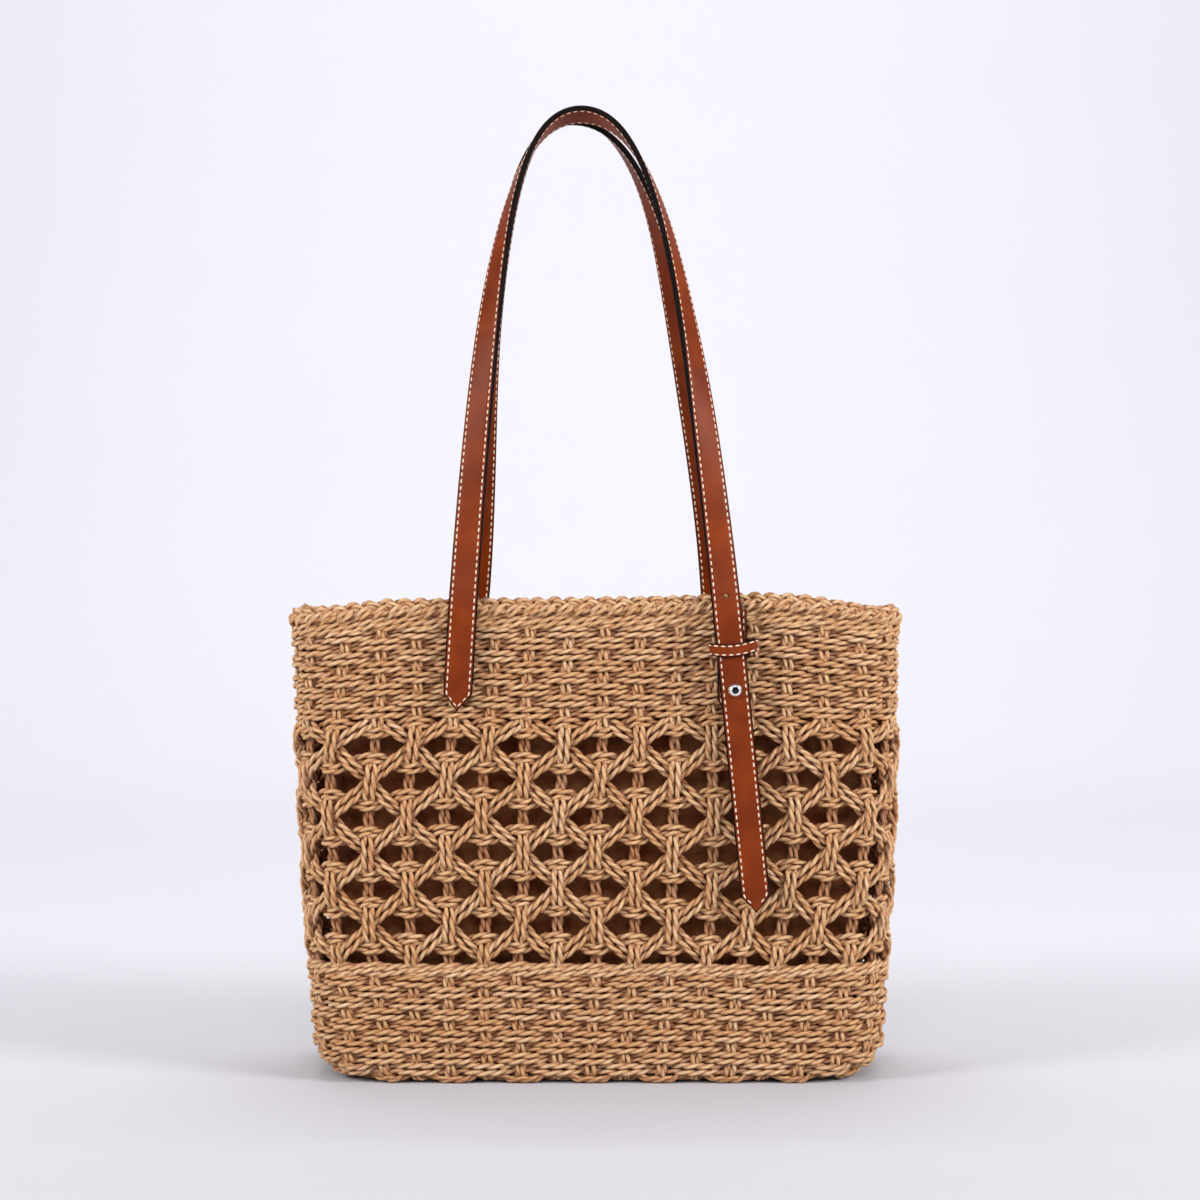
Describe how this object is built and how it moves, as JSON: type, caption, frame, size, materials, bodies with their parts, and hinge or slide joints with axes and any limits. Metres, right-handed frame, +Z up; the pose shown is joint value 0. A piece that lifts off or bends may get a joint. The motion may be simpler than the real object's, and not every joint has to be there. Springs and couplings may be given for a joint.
{
  "type": "beach bag",
  "caption": "Woven straw tote with an open lattice middle, cloth lining and two long leather shoulder straps, each sewn at one end and held by a stud at the other.",
  "frame": {"origin": "middle of the flat underside", "axes": "+Z up, +X to the right seen from the front, the front with its strap tail on the right faces -Y"},
  "size_m": [0.3428, 0.144, 0.5498],
  "materials": {
    "straw": "twisted paper straw rope, matt with a light natural sheen",
    "lining_cloth": "plain woven cloth, matt",
    "strap_leather": "smooth tan leather, black painted edges, cream stitching",
    "strap_backing": "smooth tan leather backing",
    "stud_nickel": "polished nickel plate"
  },
  "bodies": {
    "bag": {"woven_base": "straw", "woven_lower_band": "straw", "woven_lattice_band": "straw", "woven_upper_band": "straw", "rim_plait": "straw", "lining_pouch": "lining_cloth", "lining_hem": "lining_cloth", "front_fixed_end_backing": "strap_backing", "front_fixed_end_face": "strap_leather", "front_anchor_strap_backing": "strap_backing", "front_anchor_strap_face": "strap_leather", "front_buckled_strap_backing": "strap_backing", "front_buckled_strap_face": "strap_leather", "front_stud": "stud_nickel", "front_stud_screw": "stud_nickel", "back_fixed_end_backing": "strap_backing", "back_fixed_end_face": "strap_leather", "back_anchor_strap_backing": "strap_backing", "back_anchor_strap_face": "strap_leather", "back_buckled_strap_backing": "strap_backing", "back_buckled_strap_face": "strap_leather", "back_stud": "stud_nickel", "back_stud_screw": "stud_nickel"},
    "front_handle": {"front_handle_backing": "strap_backing", "front_handle_face": "strap_leather"},
    "front_tail": {"front_tail_backing": "strap_backing", "front_tail_face": "strap_leather"},
    "front_keeper": {"front_keeper_loop": "strap_leather"},
    "back_handle": {"back_handle_backing": "strap_backing", "back_handle_face": "strap_leather"},
    "back_tail": {"back_tail_backing": "strap_backing", "back_tail_face": "strap_leather"},
    "back_keeper": {"back_keeper_loop": "strap_leather"}
  },
  "joints": [
    {"name": "front_handle_hinge", "type": "hinge", "parent": "bag", "child": "front_handle", "pos_m": [0, -0.0688, 0.266], "axis": [1, 0, 0], "range_deg": [0, 150]},
    {"name": "front_tail_hinge", "type": "hinge", "parent": "bag", "child": "front_tail", "pos_m": [0.07541, -0.0688, 0.21177], "axis": [-0.9951, 0, -0.0993], "range_deg": [-2, 80]},
    {"name": "front_keeper_slide", "type": "slide", "parent": "bag", "child": "front_keeper", "axis": [-0.0993, 0, 0.9951], "range_m": [-0.013, 0.01]},
    {"name": "back_handle_hinge", "type": "hinge", "parent": "bag", "child": "back_handle", "pos_m": [0, 0.0688, 0.266], "axis": [-1, 0, 0], "range_deg": [0, 150]},
    {"name": "back_tail_hinge", "type": "hinge", "parent": "bag", "child": "back_tail", "pos_m": [-0.07941, 0.0688, 0.21177], "axis": [0.9951, 0, -0.0993], "range_deg": [-2, 80]},
    {"name": "back_keeper_slide", "type": "slide", "parent": "bag", "child": "back_keeper", "axis": [0.0993, 0, 0.9951], "range_m": [-0.013, 0.01]}
  ]
}
